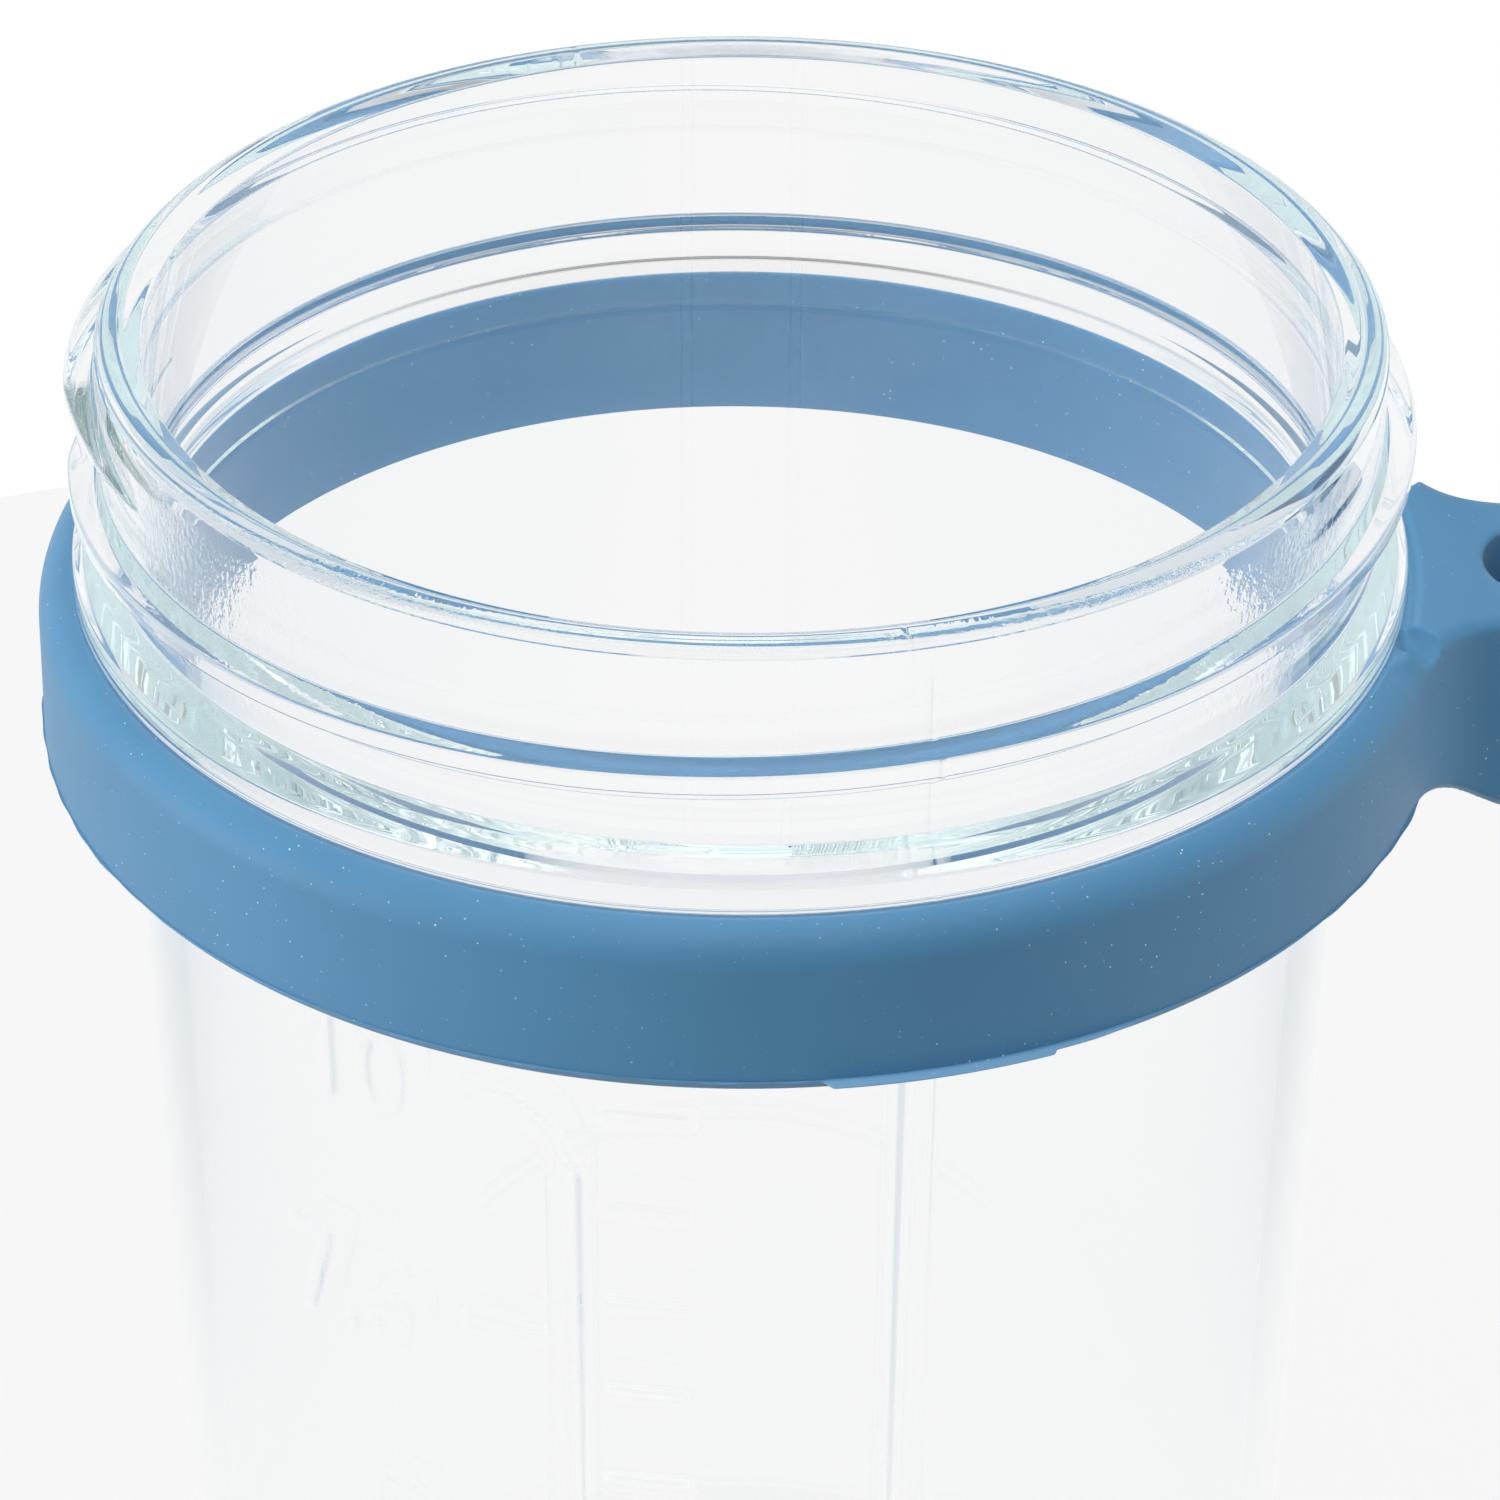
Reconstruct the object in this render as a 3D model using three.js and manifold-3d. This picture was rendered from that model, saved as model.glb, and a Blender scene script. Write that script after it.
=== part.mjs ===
// Overnight oats jar: a wide-mouth screw-neck glass jar with a soft band round its neck.
// The band carries a sleeve that holds a spoon upright beside the jar.
// Millimetres, +Z up. The origin is the centre of the base, on the surface the jar stands on.
// The sleeve points to +X and the front of the jar faces -Y.

import * as THREE from 'three';
import { mergeVertices } from 'three/addons/utils/BufferGeometryUtils.js';
import Module from 'manifold-3d';

// Glass: heights below the lip are called drops, because the neck is dimensioned from the lip down.
const JAR_HEIGHT = 127;
const MOUTH_RADIUS = 38;
const NECK_WALL = 3;
const LIP_ROUND = 1.3;
const NECK_STRAIGHT_DROP = 12;
const BODY_WALL = 2.6;
const BODY_TAPER = 0.029;
const BASE_THICKNESS = 5;
const HEEL_RADIUS = 8;
const INNER_CORNER_RADIUS = 4;

// Screw thread: one start, a little over one turn, right-handed.
const THREAD_HEIGHT = 2;
const THREAD_ROOT_WIDTH = 4.6;
const THREAD_CREST_WIDTH = 1.7;
const THREAD_PITCH = 6.35;
const THREAD_FRONT_DROP = 8.3;
const THREAD_START_ANGLE = -195;
const THREAD_END_ANGLE = 205;
const THREAD_FADE_ANGLE = 22;
const THREAD_ROOT_SINK = 1;

// Bead: the ring of glass that keeps the band from sliding up, and the seat below it.
const BEAD_HEIGHT_ABOVE_NECK = 2;
const BEAD_TOP_DROP = 12.8;
const BEAD_SHOULDER_DROP = 14.4;
const BEAD_BOTTOM_DROP = 17.4;
const SEAT_DEPTH = 2.8;
const SEAT_SLOPE_DROP = 1.4;

// Soft band on its seat under the bead.
const BAND_CLEARANCE = 0.3;
const BAND_PROUD_OF_BEAD = 2.3;
const BAND_HEIGHT = 10.7;
const BAND_SHOULDER_RADIUS = 2.3;
const BAND_BOTTOM_ROUND = 0.5;

// Spoon sleeve on the band: a level plateau that draws in to a round sleeve.
const SPOON_HOLE_RADIUS = 5.15;
const SPOON_HOLE_REACH = 7.85;
const SLEEVE_WALL = 2;
const SLEEVE_HANG = 4.4;
const PLATEAU_HALF_WIDTH = 12;
const PLATEAU_OVERHANG = 0.2;
const WEB_MEETS_SLEEVE_ANGLE = 117;
const WEB_CURVE_ALONG = 0.25;
const WEB_CURVE_ACROSS = 0.39;

const TURN_SEGMENTS = 72;
const SLEEVE_SEGMENTS = 36;
const ARC_STEPS = 4;
const WEB_CURVE_STEPS = 8;
const CUT_MARGIN = 5;

const neckRadius = MOUTH_RADIUS + NECK_WALL;
const beadRadius = neckRadius + BEAD_HEIGHT_ABOVE_NECK;
const seatRadius = beadRadius - SEAT_DEPTH;
const seatDrop = BEAD_BOTTOM_DROP + SEAT_SLOPE_DROP;
const bandRadius = beadRadius + BAND_PROUD_OF_BEAD;
const bandTopDrop = BEAD_BOTTOM_DROP + BAND_CLEARANCE;
const bandBottomDrop = bandTopDrop + BAND_HEIGHT;
const holeCentre = bandRadius + SPOON_HOLE_REACH;
const sleeveRadius = SPOON_HOLE_RADIUS + SLEEVE_WALL;

const wasm = await Module();
wasm.setup();

const point = (x, y) => new THREE.Vector2(x, y);
const atDrop = (radius, drop) => point(radius, JAR_HEIGHT - drop);
const bodyRadiusAt = (drop) => seatRadius - BODY_TAPER * (drop - seatDrop);

// Points on an arc of the (radius, height) plane, angles in degrees from outwards towards up.
function arc(centreRadius, centreHeight, radius, fromDegrees, toDegrees) {
  const points = [];
  for (let i = 0; i <= ARC_STEPS; i += 1) {
    const angle = THREE.MathUtils.degToRad(fromDegrees + ((toDegrees - fromDegrees) * i) / ARC_STEPS);
    points.push(point(centreRadius + radius * Math.cos(angle), centreHeight + radius * Math.sin(angle)));
  }
  return points;
}

// Solid of revolution about +Z from a profile of (radius, height) points listed anticlockwise.
function turned(profile, segments = TURN_SEGMENTS) {
  const geometry = new THREE.LatheGeometry(profile, segments);
  geometry.rotateX(Math.PI / 2);
  return geometry;
}

// Closed solid with shared corners, ready to be joined or cut.
function solid(geometry) {
  const bare = geometry.clone();
  bare.deleteAttribute('normal');
  bare.deleteAttribute('uv');
  const merged = mergeVertices(bare, 1e-4);
  const corners = merged.index.array;
  const triangles = [];
  for (let i = 0; i < corners.length; i += 3) {
    const [a, b, c] = [corners[i], corners[i + 1], corners[i + 2]];
    if (a !== b && b !== c && c !== a) {
      triangles.push(a, b, c);
    }
  }
  return new wasm.Manifold(new wasm.Mesh({
    numProp: 3,
    vertProperties: new Float32Array(merged.attributes.position.array),
    triVerts: new Uint32Array(triangles),
  }));
}

function meshOf(name, body, material) {
  const { vertProperties, triVerts } = body.getMesh();
  const geometry = new THREE.BufferGeometry();
  geometry.setAttribute('position', new THREE.BufferAttribute(vertProperties, 3));
  geometry.setIndex(new THREE.BufferAttribute(triVerts, 1));
  geometry.computeVertexNormals();
  const mesh = new THREE.Mesh(geometry, material);
  mesh.name = name;
  return mesh;
}

// Jar wall: up the outside from the base, over the lip and down the inside to the floor of the jar.
function jarShell() {
  const heelTop = JAR_HEIGHT - HEEL_RADIUS;
  const heelRadius = bodyRadiusAt(heelTop) - HEEL_RADIUS;
  const floorCornerHeight = BASE_THICKNESS + INNER_CORNER_RADIUS;
  const floorCornerRadius = bodyRadiusAt(JAR_HEIGHT - floorCornerHeight) - BODY_WALL - INNER_CORNER_RADIUS;
  const lipHeight = JAR_HEIGHT - LIP_ROUND;
  return turned([
    point(0, 0),
    ...arc(heelRadius, HEEL_RADIUS, HEEL_RADIUS, -90, 0),
    atDrop(bodyRadiusAt(bandBottomDrop), bandBottomDrop),
    atDrop(seatRadius, seatDrop),
    atDrop(beadRadius, BEAD_BOTTOM_DROP),
    atDrop(beadRadius, BEAD_SHOULDER_DROP),
    atDrop(neckRadius, BEAD_TOP_DROP),
    ...arc(neckRadius - LIP_ROUND, lipHeight, LIP_ROUND, 0, 90),
    ...arc(MOUTH_RADIUS + LIP_ROUND, lipHeight, LIP_ROUND, 90, 180),
    atDrop(MOUTH_RADIUS, NECK_STRAIGHT_DROP),
    atDrop(bodyRadiusAt(bandBottomDrop) - BODY_WALL, bandBottomDrop),
    ...arc(floorCornerRadius, floorCornerHeight, INNER_CORNER_RADIUS, 0, -90),
    point(0, BASE_THICKNESS),
  ]);
}

// Thread ridge: a straight bar of the ridge's section, wound round the neck and fading out at both ends.
function threadRidge() {
  const fullHeight = THREAD_ROOT_SINK + THREAD_HEIGHT;
  const section = new THREE.Shape([
    point(0, -THREAD_ROOT_WIDTH / 2),
    point(THREAD_ROOT_SINK, -THREAD_ROOT_WIDTH / 2),
    point(fullHeight, -THREAD_CREST_WIDTH / 2),
    point(fullHeight, THREAD_CREST_WIDTH / 2),
    point(THREAD_ROOT_SINK, THREAD_ROOT_WIDTH / 2),
    point(0, THREAD_ROOT_WIDTH / 2),
  ]);
  const sweep = THREAD_END_ANGLE - THREAD_START_ANGLE;
  const steps = Math.ceil((sweep * TURN_SEGMENTS) / 360);
  const bar = new THREE.ExtrudeGeometry(section, { depth: sweep, steps, bevelEnabled: false });
  const place = bar.attributes.position;
  const buriedShare = (0.5 * THREAD_ROOT_SINK) / fullHeight;
  for (let i = 0; i < place.count; i += 1) {
    const along = place.getZ(i);
    const toEnd = Math.min(along, sweep - along);
    const fade = THREE.MathUtils.smoothstep(toEnd, 0, THREAD_FADE_ANGLE);
    const share = THREE.MathUtils.lerp(buriedShare, 1, fade);
    const degrees = THREAD_END_ANGLE - along;
    const angle = THREE.MathUtils.degToRad(degrees);
    const radius = neckRadius - THREAD_ROOT_SINK + place.getX(i) * share;
    const drop = THREAD_FRONT_DROP - (THREAD_PITCH * (degrees + 90)) / 360;
    const height = JAR_HEIGHT - drop + place.getY(i);
    place.setXYZ(i, radius * Math.cos(angle), radius * Math.sin(angle), height);
  }
  return bar;
}

// The glass under the bead with the band's clearance all round: what is cut out of the band.
function bandSeat() {
  const bottomDrop = bandBottomDrop + SLEEVE_HANG + CUT_MARGIN;
  return turned([
    atDrop(0, bottomDrop),
    atDrop(bodyRadiusAt(bottomDrop) + BAND_CLEARANCE, bottomDrop),
    atDrop(seatRadius + BAND_CLEARANCE, seatDrop + BAND_CLEARANCE),
    atDrop(beadRadius, BEAD_BOTTOM_DROP + BAND_CLEARANCE),
    atDrop(beadRadius, BEAD_BOTTOM_DROP - CUT_MARGIN),
    atDrop(0, BEAD_BOTTOM_DROP - CUT_MARGIN),
  ]);
}

// Outside of the band as a full disc: rounded bottom edge, upright wall and a round shoulder.
function bandDisc() {
  const bottom = JAR_HEIGHT - bandBottomDrop;
  const top = JAR_HEIGHT - bandTopDrop;
  return turned([
    point(0, bottom),
    ...arc(bandRadius - BAND_BOTTOM_ROUND, bottom + BAND_BOTTOM_ROUND, BAND_BOTTOM_ROUND, -90, 0),
    ...arc(bandRadius - BAND_SHOULDER_RADIUS, top - BAND_SHOULDER_RADIUS, BAND_SHOULDER_RADIUS, 0, 90),
    point(0, top),
  ]);
}

// Plan of the plateau and its web, which curve in from the band to the sleeve.
function webPlan() {
  const meet = THREE.MathUtils.degToRad(WEB_MEETS_SLEEVE_ANGLE);
  const meetX = holeCentre + sleeveRadius * Math.cos(meet);
  const meetY = sleeveRadius * Math.sin(meet);
  const cornerX = bandRadius + PLATEAU_OVERHANG;
  const bendX = THREE.MathUtils.lerp(cornerX, meetX, WEB_CURVE_ALONG);
  const bendY = THREE.MathUtils.lerp(meetY, PLATEAU_HALF_WIDTH, WEB_CURVE_ACROSS);
  const plan = new THREE.Shape();
  plan.moveTo(seatRadius - CUT_MARGIN, -PLATEAU_HALF_WIDTH);
  plan.lineTo(cornerX, -PLATEAU_HALF_WIDTH);
  plan.quadraticCurveTo(bendX, -bendY, meetX, -meetY);
  plan.lineTo(holeCentre, 0);
  plan.lineTo(meetX, meetY);
  plan.quadraticCurveTo(bendX, bendY, cornerX, PLATEAU_HALF_WIDTH);
  plan.lineTo(seatRadius - CUT_MARGIN, PLATEAU_HALF_WIDTH);
  plan.closePath();
  return plan;
}

// Side view of the plateau, web and sleeve: level on top, hanging lower under the sleeve.
function sleeveSide() {
  const top = JAR_HEIGHT - bandTopDrop;
  const bandBottom = JAR_HEIGHT - bandBottomDrop;
  const sleeveBottom = bandBottom - SLEEVE_HANG;
  const side = new THREE.Shape();
  side.moveTo(0, bandBottom);
  side.lineTo(bandRadius, bandBottom);
  side.lineTo(holeCentre - SPOON_HOLE_RADIUS, sleeveBottom);
  side.lineTo(holeCentre + sleeveRadius + CUT_MARGIN, sleeveBottom);
  side.lineTo(holeCentre + sleeveRadius + CUT_MARGIN, top);
  side.lineTo(0, top);
  side.closePath();
  return side;
}

function upright(radius, height, bottom) {
  const post = new THREE.CylinderGeometry(radius, radius, height, SLEEVE_SEGMENTS);
  post.rotateX(Math.PI / 2);
  post.translate(holeCentre, 0, bottom + height / 2);
  return post;
}

function glassJar() {
  return solid(jarShell()).add(solid(threadRidge()));
}

function spoonBand() {
  const bottom = JAR_HEIGHT - bandBottomDrop - SLEEVE_HANG;
  const height = BAND_HEIGHT + SLEEVE_HANG;
  const web = new THREE.ExtrudeGeometry(webPlan(), {
    depth: height,
    bevelEnabled: false,
    curveSegments: WEB_CURVE_STEPS,
  });
  web.translate(0, 0, bottom);
  const slabWidth = 2 * (PLATEAU_HALF_WIDTH + CUT_MARGIN);
  const slab = new THREE.ExtrudeGeometry(sleeveSide(), { depth: slabWidth, bevelEnabled: false });
  slab.translate(0, 0, -slabWidth / 2);
  slab.rotateX(Math.PI / 2);
  const holder = solid(web).add(solid(upright(sleeveRadius, height, bottom))).intersect(solid(slab));
  const hole = upright(SPOON_HOLE_RADIUS, height + 2 * CUT_MARGIN, bottom - CUT_MARGIN);
  return solid(bandDisc()).add(holder).subtract(solid(hole)).subtract(solid(bandSeat()));
}

const clearGlass = new THREE.MeshStandardMaterial({
  color: 0xdcebe7,
  roughness: 0.05,
  metalness: 0,
  transparent: true,
  opacity: 0.35,
});
const blueSilicone = new THREE.MeshStandardMaterial({ color: 0x447aa6, roughness: 0.6, metalness: 0 });

const jar = new THREE.Group();
jar.add(meshOf('glass_jar', glassJar(), clearGlass));
jar.add(meshOf('spoon_band', spoonBand(), blueSilicone));

export default jar;
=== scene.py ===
"""Looks of an open glass jar for overnight oats, with a soft blue band that carries a spoon.

Lengths are millimetres until a mesh is made. A "drop" is a distance below the top of the lip.
Angles are degrees about the jar's axis from +X towards +Y, so the front of the jar is at -90.
"""
import math

import bmesh
import bpy
import numpy as np
from mathutils import Matrix, Vector


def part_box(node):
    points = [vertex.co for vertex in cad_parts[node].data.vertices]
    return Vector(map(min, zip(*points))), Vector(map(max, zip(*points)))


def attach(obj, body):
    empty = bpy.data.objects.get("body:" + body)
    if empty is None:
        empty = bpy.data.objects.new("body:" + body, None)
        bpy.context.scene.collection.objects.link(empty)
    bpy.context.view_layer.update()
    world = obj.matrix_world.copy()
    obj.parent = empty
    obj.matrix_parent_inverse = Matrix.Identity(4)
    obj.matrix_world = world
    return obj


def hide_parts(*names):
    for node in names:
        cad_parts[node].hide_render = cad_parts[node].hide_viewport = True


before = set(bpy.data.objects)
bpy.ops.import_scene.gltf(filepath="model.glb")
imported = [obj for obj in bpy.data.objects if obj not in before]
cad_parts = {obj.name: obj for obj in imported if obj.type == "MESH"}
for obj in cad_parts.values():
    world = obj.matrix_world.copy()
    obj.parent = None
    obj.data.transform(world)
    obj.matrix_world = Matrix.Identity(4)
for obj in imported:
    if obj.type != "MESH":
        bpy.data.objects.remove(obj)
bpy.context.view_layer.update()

MM = 0.001
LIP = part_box("glass_jar")[1].z / MM
FRONT = -90.0

# Glass wall, from the axis under the base, up the outside, over the lip and down the inside.
# Each corner is radius, drop, fillet and the row spacing of the straight run that ends there.
NECK_RADIUS = 41.0
BODY_RADIUS = 40.0
BODY_TOP_DROP = 28.4
BODY_TAPER = 0.029
FOOT_RADIUS = BODY_RADIUS - BODY_TAPER * (LIP - BODY_TOP_DROP)
FOOT_HEIGHT = 9.0
FLOOR_DROP = LIP - 5.0
BEAD_RADIUS = 43.0
BEAD_BOTTOM_DROP = 17.5
SEAT_RADIUS = 40.2
SEAT_TOP_DROP = 17.9
THREAD_ZONE = (1.5, 13.2)
OUTER_CORNERS = [
    (0.0, LIP - 0.6, 0.0, 3.0),
    (24.0, LIP - 0.6, 5.0, 3.0),
    (27.5, LIP, 1.5, 1.0),
    (FOOT_RADIUS, LIP, 8.0, 1.0),
    (BODY_RADIUS, BODY_TOP_DROP, 6.0, 0.36),
    (40.15, 20.9, 0.1, 0.6),
    (40.28, 20.5, 0.15, 0.1),
    (40.2, 20.1, 0.1, 0.1),
    (SEAT_RADIUS, SEAT_TOP_DROP, 0.3, 0.4),
    (BEAD_RADIUS, BEAD_BOTTOM_DROP, 0.6, 0.25),
    (BEAD_RADIUS, 15.6, 0.8, 0.3),
    (41.7, 14.05, 0.4, 0.2),
    (NECK_RADIUS, 13.6, 0.2, 0.2),
    (NECK_RADIUS, THREAD_ZONE[1], 0.0, 0.2),
]
INNER_CORNERS = [
    (NECK_RADIUS, THREAD_ZONE[0], 0.0, 0.2),
    (NECK_RADIUS, 0.86, 0.03, 0.2),
    (40.9, 0.8, 0.02, 0.1),
    (40.57, 0.2, 1.2, 0.1),
    (39.38, 0.0, 1.02, 0.2),
    (38.0, 0.7, 0.3, 0.2),
    (38.0, 12.0, 15.0, 0.6),
    (37.2, 27.0, 15.0, 0.8),
    (34.7, FLOOR_DROP, 4.0, 1.2),
    (0.0, FLOOR_DROP, 0.0, 3.0),
]
ARC_STEP = 8.0

# Screw thread: a right-handed ridge of a little over one turn, nearly level on top.
# Its section is height over the neck, drop from the crest's middle, fillet and row spacing.
THREAD_PITCH = 6.35
THREAD_FRONT_DROP = 8.3
THREAD_START = -195.0
THREAD_END = 206.0
THREAD_FADE = 19.0
THREAD_TIP = 1.8
THREAD_SWELL = 0.75
TIP_WIDTH = 0.1
THREAD_SECTION = [
    (0.0, 3.9, 0.0, 0.6),
    (0.0, 2.13, 0.18, 0.6),
    (2.0, 0.6, 0.45, 0.25),
    (2.0, -0.6, 0.3, 0.25),
    (0.0, -0.94, 0.2, 0.2),
    (0.0, 3.9 - THREAD_PITCH, 0.0, 0.6),
]

# Mould seams: two fine upright ridges, opposite each other, as angle and height.
SEAMS = ((-73.0, 0.13), (107.0, 0.03))
SEAM_HALF = 0.32
SEAM_RISE = 0.6
SEAM_FALL = 0.8
SEAM_LOSS_BELOW_NECK = 0.7

# Columns round the jar: steps, and how far the closer ones go, in degrees, but at the bars in millimetres.
COLUMN_STEP = 0.9
SCALE_STEP = 0.4
SCALE_SPAN = (50.0, 24.0)
SEAM_STEP = 0.16
SEAM_SPAN = 0.8
BAR_STEP = 0.14
BAR_SPAN = 1.5
CLOSEST_COLUMNS = 0.1

# Measuring scale in low relief on the front, laid out by arc length from the front line and drop.
BAR_HEIGHT = 0.55
MARK_HEIGHT = 0.32
LABEL_PROUD = 0.16
RELIEF_FLANK = 0.3
RELIEF_RADIUS = 39.5
LEFT_BAR = -10.2
RIGHT_BAR = 11.6
BAR_HALF = 1.05
BAR_END_DROP = 112.0
RIGHT_BAR_TOP_DROP = 30.0
MARK_DROPS = (34.6, 52.7, 70.8, 88.9)
MARK_LABELS = ("10", "7.5", "5", "2.5")
MARK_START = -16.9
MARK_HALF = 0.6
MARK_BEND = 5.0
LABEL_END = -21.3
LABEL_SINK = 1.0
LABEL_HEIGHT = 6.0
LABEL_WIDTH = 3.0
POINT_WIDTH = 0.75
LABEL_GAP = 1.4
LABEL_HALF = 0.5
UNIT_TICK = (-7.4, -2.6)
UNIT_TICK_HALF = 0.45
UNIT_TICKS = 9
UNITS_PER_MARK = 2.5

# Blue band and its spoon holder.
BAND_RADIUS = 45.3
BAND_INNER_RADIUS = 40.3
BAND_TOP_DROP = 17.45
BAND_BOTTOM_DROP = 28.6
BAND_SHOULDER = 2.4
BAND_BOTTOM_ROUND = 0.35
SEAT_GAP = 0.06
SEAT_ROUND = 0.6
SLEEVE_X = 53.15
SLEEVE_RADIUS = 7.15
SLEEVE_BOTTOM_DROP = 31.6
SPOON_HOLE_RADIUS = 5.15
SPOON_HOLE_ROUND = 0.3
HOLDER_TOP_DROP = 17.1
HOLDER_EDGE_ROUND = 0.8
GLASS_GROOVE = 0.45
GROOVE_REACH = (43.2, 44.2)
WEB_ROUND = 10.0
WEB_END_SIDE = 12.6
WEB_STEP_INSIDE = 0.3
WEB_STEP_OUTSIDE = 1.5
WEB_STEP_REACH = (43.4, 45.4)
SHOULDER_BLEND = (-2.2, 1.8)
FAR_OFF = 99.0
HOLLOW_CENTRE = (43.3, 10.7)
HOLLOW_ALONG = (0.52, 0.854)
HOLLOW_REACH = (2.9, 1.3, 1.2)
HOLLOW_ROUND = 0.2
UNDERSIDE_START_X = 43.6
UNDERSIDE_END_X = 50.6
CHAMFER_HEIGHT = 0.8
CHAMFER_SLOPE = 0.6

# Mould flash: a thin lip of silicone along the parting line, with one long film at the front.
PARTING_DROP = BAND_BOTTOM_DROP - CHAMFER_HEIGHT
FLASH_ROOT = 0.3
FLASH_HALF = 0.12
FLASH_LIP = 0.12
FILM_REACH = 0.9
FILM_START = -82.9
FILM_TOOTH = -64.7
FILM_END = -52.0
FILM_AFTER_TOOTH = 0.55

# Grids of the band and its flash, as runs of (start, end, step).
BAND_ANGLES = ((-180.0, -26.0, 0.75), (-26.0, 26.0, 0.26), (26.0, 180.0, 0.75))
BAND_RADII = ((39.9, 46.5, 0.2), (46.5, 61.0, 0.35))
BAND_DROPS = ((16.7, 20.5, 0.16), (20.5, 27.2, 0.4), (27.2, 29.0, 0.12), (29.0, 32.6, 0.25))
FLASH_ANGLES = ((-180.0, -90.0, 1.0), (-90.0, -50.0, 0.25), (-50.0, 180.0, 1.0))

# Patches of ripple on the neck: where each fade starts and ends, by drop, distance from the axis and |x|.
RIPPLE_SIZE = 0.5
RIPPLE_HEIGHT = 0.035
RIPPLE_PATCH = 7.0
RIPPLE_DROPS = (1.6, 2.2, 11.0, 13.0)
RIPPLE_REACH = (40.6, 40.9, 41.15, 41.4)
RIPPLE_ASIDE = (8.0, 24.0, 35.5, 38.0)
RIPPLE_Y = (-6.0, -12.0)
RIPPLE_ON_THREAD = 0.3

# A rough streak down the front of the body, which sways to and fro.
STREAK_X = -17.5
STREAK_SWAY = 7.0
STREAK_SWAY_LENGTH = 14.0
STREAK_HALF = (0.8, 0.2)
STREAK_TOP_DROPS = (30.0, 31.0)
STREAK_Y = (-20.0, -24.0)
STREAK_REACH = (37.2, 38.2)

# Silicone: sizes of its clouds and grain, how far out its flash is painted palest as painted light shining
# through the thin silicone, and where the holder starts.
CLOUD_SIZE = 9.0
GRAIN_SIZE = 0.5
GRAIN_HEIGHT = 0.004
FLASH_LIGHT_REACH = (0.02, 0.3)
FLASH_LIGHT_SHARE = 0.6
HOLDER_START_X = 36.0

# Dust on the silicone: size of its cells, a speck's share of a cell, and size of its drifts.
DUST_CELL = 0.7
DUST_SPECK = 0.09
DUST_DRIFT = 11.0

# Soft boxes of the room as direction and strength.
ROOM_LIGHTS = [
    ((-0.1, 0.0, 1.0), 1.8),
    ((-0.05, -0.45, 0.9), 3.4),
    ((-0.97, -0.2, 0.0), 6.6),
    ((0.95, 0.05, -0.05), 3.4),
]
SOFT_BOX_FALL = 10.0
ROOM_LEAST = 0.02
BOXES_THROUGH_GLASS = 0.95

# What glass shows of the room: a pale blue-grey at the left and right, and a dark side behind the
# camera that ends at the horizon.
SIDE_SHADE = "#dbe3ea"
SIDE_ON_FLOOR = (55.0 * MM, 130.0 * MM)
SIDE_OF_ROOM = (0.4, 0.9)
CAMERA_SIDE = (0.1, -0.92, 0.38)
CAMERA_SIDE_EDGE = (0.3, 0.95)
CAMERA_SIDE_DARK = 0.7
HORIZON = (-0.1, 0.05)
GLASS_LOSS = 0.07

# Bounces after which a ray counts as one that ran far inside a wall, and how much brighter it ends.
LONG_PATH = (8.0, 16.0)
LONG_PATH_GAIN = 0.3

FLOOR_RADIUS = 210.0
FLOOR_DROP_BELOW_JAR = 0.2
FLOOR_GLOW = 0.92


def smooth_step(low, high, value):
    part = np.clip((value - low) / (high - low), 0.0, 1.0)
    return part * part * (3.0 - 2.0 * part)


def arc_points(centre, reach, start, end, count):
    """Points on an ellipse about centre, from the start angle to the end angle."""
    turn = np.radians(np.linspace(start, end, count))
    return np.stack([centre[0] + reach[0] * np.cos(turn), centre[1] + reach[1] * np.sin(turn)], 1)


def rounded_path(corners):
    """Points along (radius, drop) corners, each rounded by its own fillet."""
    points = [np.array(corners[0][:2])]

    def run_to(end, spacing):
        start = points[-1]
        count = max(1, round(float(np.linalg.norm(end - start)) / spacing))
        points.extend(start + (end - start) * step / count for step in range(1, count + 1))

    for before, here, after in zip(corners, corners[1:], corners[2:]):
        corner = np.array(here[:2])
        back = np.array(before[:2]) - corner
        ahead = np.array(after[:2]) - corner
        back = back / np.linalg.norm(back)
        ahead = ahead / np.linalg.norm(ahead)
        half = math.acos(float(np.clip(back @ ahead, -1.0, 1.0))) / 2
        middle = back + ahead
        centre = corner + middle / np.linalg.norm(middle) * here[2] / math.sin(half)
        start = corner + back * here[2] / math.tan(half)
        end = corner + ahead * here[2] / math.tan(half)
        run_to(start, here[3])
        sweep = math.pi - 2 * half
        count = max(2, math.ceil(math.degrees(sweep) / ARC_STEP))
        for step in range(1, count + 1):
            part = step / count
            from_start = (start - centre) * math.sin((1 - part) * sweep)
            from_end = (end - centre) * math.sin(part * sweep)
            points.append(centre + (from_start + from_end) / math.sin(sweep))
    run_to(np.array(corners[-1][:2]), corners[-1][3])
    return np.array(points)


def narrowed_thread(place, width):
    """Drops across the thread's section, its ridge narrowed to a tip and the neck beside it stretched."""
    lower_end, lower_root = THREAD_SECTION[0][1], THREAD_SECTION[1][1]
    upper_root, upper_end = THREAD_SECTION[-2][1], THREAD_SECTION[-1][1]
    ridge = THREAD_TIP + (place - THREAD_TIP) * width
    upper_edge = THREAD_TIP + (upper_root - THREAD_TIP) * width
    lower_edge = THREAD_TIP + (lower_root - THREAD_TIP) * width
    above = upper_end + (place - upper_end) * (upper_edge - upper_end) / (upper_root - upper_end)
    below = lower_end + (place - lower_end) * (lower_edge - lower_end) / (lower_root - lower_end)
    return np.where(place < upper_root, above, np.where(place > lower_root, below, ridge))


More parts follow.
